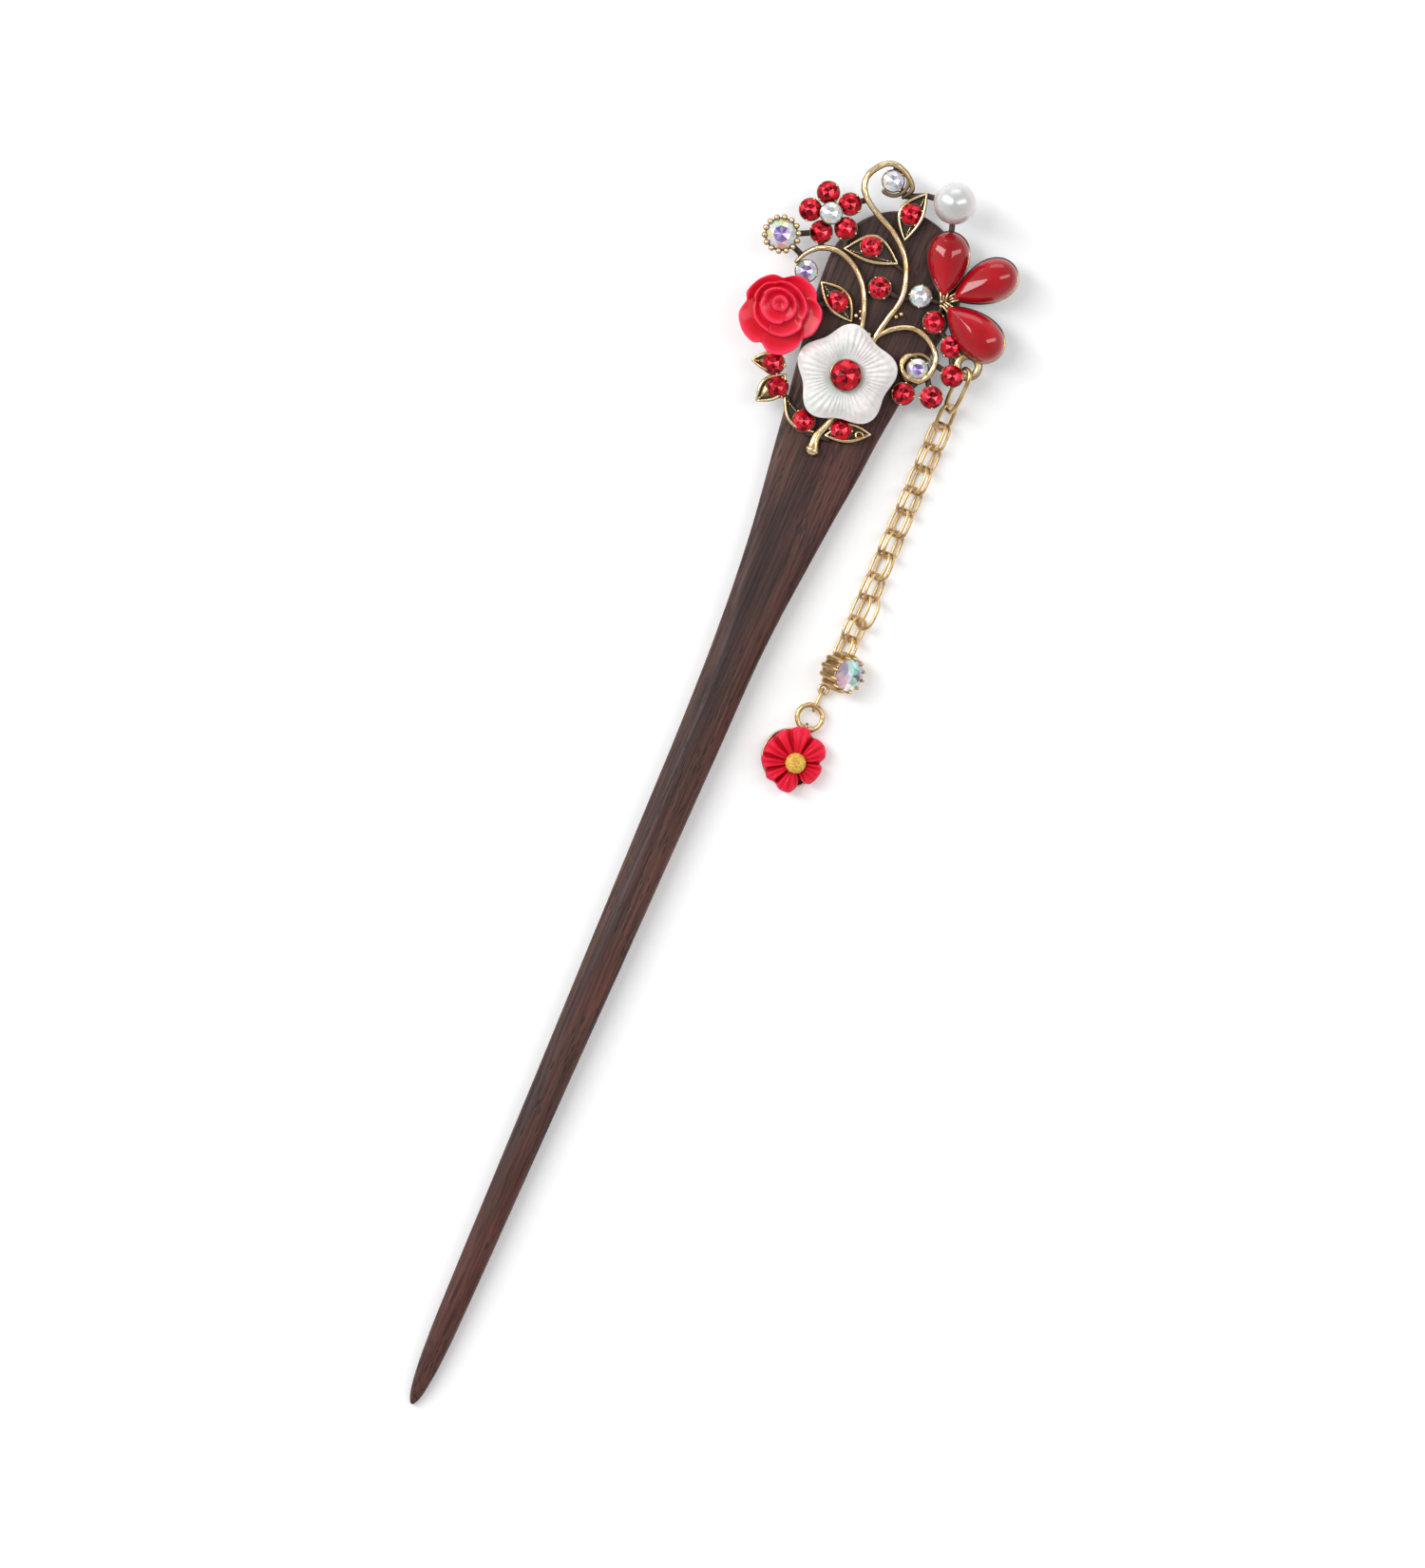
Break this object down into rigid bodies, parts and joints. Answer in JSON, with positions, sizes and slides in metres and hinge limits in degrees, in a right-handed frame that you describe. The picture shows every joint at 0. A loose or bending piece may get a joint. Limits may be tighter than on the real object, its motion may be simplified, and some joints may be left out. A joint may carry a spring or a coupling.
{
  "type": "decorative hair pin",
  "caption": "Wooden hair stick with a round flat head, a cast gold ornament of flowers, leaves, stones and a pearl, and a hanging chain of charms.",
  "frame": {"origin": "on the flat back of the stick, in the middle of the round head", "axes": "+Y along the stick from the tip towards the head, +Z out of the flat back through the ornament, +X to the right seen from the ornament side"},
  "size_m": [0.0384, 0.1877, 0.0112],
  "materials": {
    "dark_wood": "satin",
    "adhesive": "matte",
    "antique_gold": "antique, dark in the recesses",
    "chain_gold": "bright",
    "ruby_stone": "faceted, foil backed",
    "pale_stone": "faceted, iridescent, foil backed",
    "pearl": "pearlescent",
    "mother_of_pearl": "pearlescent, carved",
    "coral_resin": "satin moulded resin",
    "cherry_resin": "polished resin",
    "yellow_resin": "textured"
  },
  "bodies": {
    "pin": {"stick": "dark_wood", "glue_pad": "adhesive", "filigree_casting": "antique_gold", "crown_setting": "antique_gold", "crown_stone": "pale_stone", "flower_centre_stone": "pale_stone", "leaf_stone_a": "ruby_stone", "leaf_stone_b": "ruby_stone", "leaf_stone_c": "ruby_stone", "leaf_stone_d": "ruby_stone", "leaf_stone_e": "ruby_stone", "leaf_stone_f": "ruby_stone", "leaf_stone_g": "ruby_stone", "centre_stone": "ruby_stone", "spray_stone_1": "ruby_stone", "spray_stone_2": "ruby_stone", "spray_stone_3": "ruby_stone", "spray_stone_4": "ruby_stone", "spray_stone_5": "ruby_stone", "petal_stone_1": "ruby_stone", "petal_stone_2": "ruby_stone", "petal_stone_3": "ruby_stone", "petal_stone_4": "ruby_stone", "petal_stone_5": "ruby_stone", "upper_curl_stone": "pale_stone", "lower_curl_stone": "pale_stone", "right_pale_stone": "pale_stone", "rose_side_stone": "pale_stone", "pearl": "pearl", "rose": "coral_resin", "shell_flower": "mother_of_pearl", "shell_rivet": "antique_gold", "shell_stone": "ruby_stone", "drop_upper": "cherry_resin", "drop_right": "cherry_resin", "drop_lower": "cherry_resin"},
    "link_1": {"chain_link_1": "chain_gold"},
    "link_2": {"chain_link_2": "chain_gold"},
    "pair_1": {"chain_pair_1": "chain_gold"},
    "pair_2": {"chain_pair_2": "chain_gold"},
    "pair_3": {"chain_pair_3": "chain_gold"},
    "pair_4": {"chain_pair_4": "chain_gold"},
    "pair_5": {"chain_pair_5": "chain_gold"},
    "pair_6": {"chain_pair_6": "chain_gold"},
    "pair_7": {"chain_pair_7": "chain_gold"},
    "pair_8": {"chain_pair_8": "chain_gold"},
    "end_rings": {"end_ring": "chain_gold", "end_jump_ring": "chain_gold"},
    "hanger": {"hanger_rings": "chain_gold"},
    "crown": {"charm_crown": "chain_gold", "charm_stone": "pale_stone"},
    "eye": {"eye_link": "chain_gold"},
    "jump": {"charm_jump_ring": "chain_gold"},
    "daisy_charm": {"daisy_tray": "chain_gold", "daisy": "coral_resin", "daisy_centre": "yellow_resin"}
  },
  "joints": [
    {"name": "link_1_swing", "type": "hinge", "parent": "pin", "child": "link_1", "pos_m": [0.01429, -0.00835, 0.0049], "axis": [0.9659, 0.2588, 0], "range_deg": [-5, 30]},
    {"name": "link_2_swing", "type": "hinge", "parent": "link_1", "child": "link_2", "pos_m": [0.01382, -0.0132, 0.00287], "axis": [0.6428, 0, 0.766], "range_deg": [-20, 20]},
    {"name": "pair_1_bend", "type": "hinge", "parent": "link_2", "child": "pair_1", "pos_m": [0.0139, -0.01603, 0.0016], "axis": [-0.7071, 0, 0.7071], "range_deg": [-18, 18]},
    {"name": "pair_2_bend", "type": "hinge", "parent": "pair_1", "child": "pair_2", "pos_m": [0.0139, -0.0192, 0.0016], "axis": [0.7071, 0, 0.7071], "range_deg": [-18, 18]},
    {"name": "pair_3_bend", "type": "hinge", "parent": "pair_2", "child": "pair_3", "pos_m": [0.0139, -0.02249, 0.0016], "axis": [0.7071, 0, -0.7071], "range_deg": [-18, 18]},
    {"name": "pair_4_bend", "type": "hinge", "parent": "pair_3", "child": "pair_4", "pos_m": [0.0139, -0.02577, 0.0016], "axis": [-0.7071, 0, -0.7071], "range_deg": [-18, 18]},
    {"name": "pair_5_bend", "type": "hinge", "parent": "pair_4", "child": "pair_5", "pos_m": [0.0139, -0.02907, 0.0016], "axis": [-0.7071, 0, 0.7071], "range_deg": [-18, 18]},
    {"name": "pair_6_bend", "type": "hinge", "parent": "pair_5", "child": "pair_6", "pos_m": [0.0139, -0.03236, 0.0016], "axis": [0.7071, 0, 0.7071], "range_deg": [-18, 18]},
    {"name": "pair_7_bend", "type": "hinge", "parent": "pair_6", "child": "pair_7", "pos_m": [0.0139, -0.03565, 0.0016], "axis": [0.7071, 0, -0.7071], "range_deg": [-18, 18]},
    {"name": "pair_8_bend", "type": "hinge", "parent": "pair_7", "child": "pair_8", "pos_m": [0.0139, -0.03893, 0.0016], "axis": [-0.7071, 0, -0.7071], "range_deg": [-18, 18]},
    {"name": "end_rings_bend", "type": "hinge", "parent": "pair_8", "child": "end_rings", "pos_m": [0.0139, -0.04222, 0.0016], "axis": [-0.7071, 0, 0.7071], "range_deg": [-8, 8]},
    {"name": "hanger_bend", "type": "hinge", "parent": "end_rings", "child": "hanger", "pos_m": [0.0139, -0.0456, 0.0016], "axis": [0.7071, 0, 0.7071], "range_deg": [-10, 10]},
    {"name": "crown_swing", "type": "hinge", "parent": "hanger", "child": "crown", "pos_m": [0.0139, -0.04845, 0.0016], "axis": [0.7071, 0, -0.7071], "range_deg": [-12, 12]},
    {"name": "eye_swing", "type": "hinge", "parent": "crown", "child": "eye", "pos_m": [0.0133, -0.05705, 0.00115], "axis": [1, 0, 0], "range_deg": [-15, 15]},
    {"name": "jump_ring_swing", "type": "hinge", "parent": "eye", "child": "jump", "pos_m": [0.0132, -0.05975, 0.00115], "axis": [0, 0, 1], "range_deg": [-30, 30]},
    {"name": "daisy_swing", "type": "hinge", "parent": "jump", "child": "daisy_charm", "pos_m": [0.0131, -0.06257, 0.00115], "axis": [1, 0, 0], "range_deg": [-20, 20]}
  ]
}
